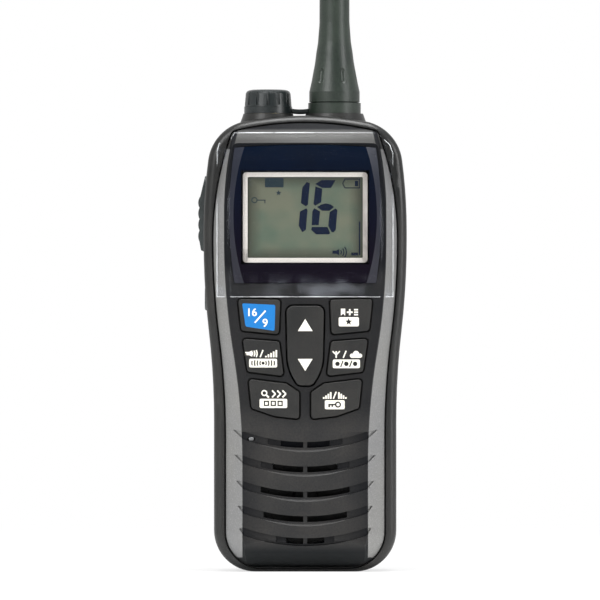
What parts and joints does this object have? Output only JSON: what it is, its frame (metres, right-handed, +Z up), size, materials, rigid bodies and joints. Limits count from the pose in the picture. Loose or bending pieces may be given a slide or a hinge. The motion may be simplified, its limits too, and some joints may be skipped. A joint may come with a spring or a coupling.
{
  "type": "vhf marine radio",
  "caption": "Slim handheld marine transceiver with display window, keypad, speaker grille, side talk button, capped jack, whip antenna and belt clip.",
  "frame": {"origin": "middle of the foot of the case, on the surface it stands on", "axes": "+Z up along the antenna, -Y out of the display, +X to the right of someone facing the display"},
  "size_m": [0.0582, 0.0385, 0.283],
  "materials": {
    "body_black": "fine matte texture",
    "front_grey": "satin dark warm grey",
    "trim_silver": "metallic silver-grey paint",
    "key_grey": "satin silicone",
    "window": "gloss, tinted",
    "display": "grey-green liquid crystal",
    "display_frame": "off-white",
    "light_guide": "milky",
    "membrane": "grey silicone",
    "board": "green solder resist",
    "steel": "plated steel",
    "brass": "nickel-plated brass",
    "cone_paper": "treated cone",
    "magnet": "plated magnet",
    "aluminium": "die-cast",
    "black_rubber": "matte rubber",
    "jack_rubber": "matte dark greenish grey",
    "battery_wrap": "textured",
    "clear_lens": "clear ribbed",
    "clip_black": "satin black"
  },
  "bodies": {
    "case": {"rear_case": "body_black", "front_case": "front_grey", "case_gasket": "black_rubber", "side_trim_left": "trim_silver", "side_trim_right": "trim_silver", "window_lens": "window", "display_frame": "display_frame", "display_glass": "display", "display_light_guide": "light_guide", "keypad_membrane": "membrane", "logic_board": "board", "main_board": "board", "board_spacers": "brass", "board_shields": "steel", "chassis_frame": "aluminium", "board_screws": "steel", "speaker_seal": "black_rubber", "speaker_basket": "steel", "speaker_cone": "cone_paper", "speaker_magnet": "magnet", "microphone": "steel", "microphone_boot": "black_rubber", "battery_pack": "battery_wrap", "battery_contacts": "brass", "battery_cover": "body_black", "battery_seal": "black_rubber", "cover_screws": "steel", "case_screws": "steel", "ptt_seal": "black_rubber", "ptt_switch": "clip_black", "power_switch": "clip_black", "usb_socket": "steel", "accessory_jack": "brass", "tether_strap": "jack_rubber", "tether_anchor": "jack_rubber", "antenna_jack": "brass", "antenna_feed": "brass", "flasher_lens": "clear_lens", "clip_plate": "clip_black", "clip_screws": "steel", "clip_pin": "steel", "clip_spring": "steel"},
    "key_sixteen": {"key_sixteen": "key_grey"},
    "key_favourite": {"key_favourite": "key_grey"},
    "key_volume": {"key_volume": "key_grey"},
    "key_channel": {"key_channel": "key_grey"},
    "key_scan": {"key_scan": "key_grey"},
    "key_power_level": {"key_power_level": "key_grey"},
    "key_up_down": {"key_up_down": "key_grey"},
    "ptt_button": {"ptt_button": "key_grey"},
    "power_button": {"power_button": "key_grey"},
    "tether_eyelet": {"tether_eyelet": "jack_rubber"},
    "jack_cap": {"jack_cap": "jack_rubber"},
    "antenna_ring": {"antenna_seal": "black_rubber"},
    "antenna": {"antenna_whip": "jack_rubber", "antenna_core": "steel", "antenna_plug": "brass"},
    "usb_cover": {"usb_cover": "black_rubber"},
    "clip_arm": {"clip_arm": "clip_black"}
  },
  "joints": [
    {"name": "ptt_press", "type": "slide", "parent": "case", "child": "ptt_button", "axis": [1, 0, 0], "range_m": [0, 0.0008], "stiffness_N_per_m": 2000},
    {"name": "power_press", "type": "slide", "parent": "case", "child": "power_button", "axis": [1, 0, 0], "range_m": [0, 0.0007], "stiffness_N_per_m": 2000},
    {"name": "press_sixteen", "type": "slide", "parent": "case", "child": "key_sixteen", "axis": [0, 1, 0], "range_m": [0, 0.0007], "stiffness_N_per_m": 2000},
    {"name": "press_favourite", "type": "slide", "parent": "case", "child": "key_favourite", "axis": [0, 1, 0], "range_m": [0, 0.0007], "stiffness_N_per_m": 2000},
    {"name": "press_volume", "type": "slide", "parent": "case", "child": "key_volume", "axis": [0, 1, 0], "range_m": [0, 0.0007], "stiffness_N_per_m": 2000},
    {"name": "press_channel", "type": "slide", "parent": "case", "child": "key_channel", "axis": [0, 1, 0], "range_m": [0, 0.0007], "stiffness_N_per_m": 2000},
    {"name": "press_scan", "type": "slide", "parent": "case", "child": "key_scan", "axis": [0, 1, 0], "range_m": [0, 0.0007], "stiffness_N_per_m": 2000},
    {"name": "press_power_level", "type": "slide", "parent": "case", "child": "key_power_level", "axis": [0, 1, 0], "range_m": [0, 0.0007], "stiffness_N_per_m": 2000},
    {"name": "up_down_tilt", "type": "hinge", "parent": "case", "child": "key_up_down", "pos_m": [0, -0.0124, 0.063], "axis": [1, 0, 0], "range_deg": [-4, 4], "stiffness_Nm_per_rad": 0.05},
    {"name": "cap_lift", "type": "slide", "parent": "case", "child": "tether_eyelet", "axis": [0, 0, 1], "range_m": [0, 0.003]},
    {"name": "cap_turn", "type": "hinge", "parent": "tether_eyelet", "child": "jack_cap", "pos_m": [-0.01035, 0.003, 0.13], "axis": [0, 0, 1], "range_deg": [0, 1080]},
    {"name": "antenna_lift", "type": "slide", "parent": "case", "child": "antenna_ring", "axis": [0, 0, 1], "range_m": [0, 0.00353]},
    {"name": "antenna_turn", "type": "hinge", "parent": "antenna_ring", "child": "antenna", "pos_m": [0.0082, 0.003, 0.134], "axis": [0, 0, 1], "range_deg": [0, 1800]},
    {"name": "usb_cover_open", "type": "hinge", "parent": "case", "child": "usb_cover", "pos_m": [0.02475, 0.00185, 0.0325], "axis": [0, 0, 1], "range_deg": [0, 110]},
    {"name": "clip_open", "type": "hinge", "parent": "case", "child": "clip_arm", "pos_m": [0, 0.0199, 0.112], "axis": [1, 0, 0], "range_deg": [0, 12], "stiffness_Nm_per_rad": 0.2, "springref_deg": -5.73}
  ],
  "couplings": [
    {"joint": "cap_turn", "follows": "cap_lift", "rad_per_m": 6283.2},
    {"joint": "antenna_turn", "follows": "antenna_lift", "rad_per_m": 8905.3}
  ]
}
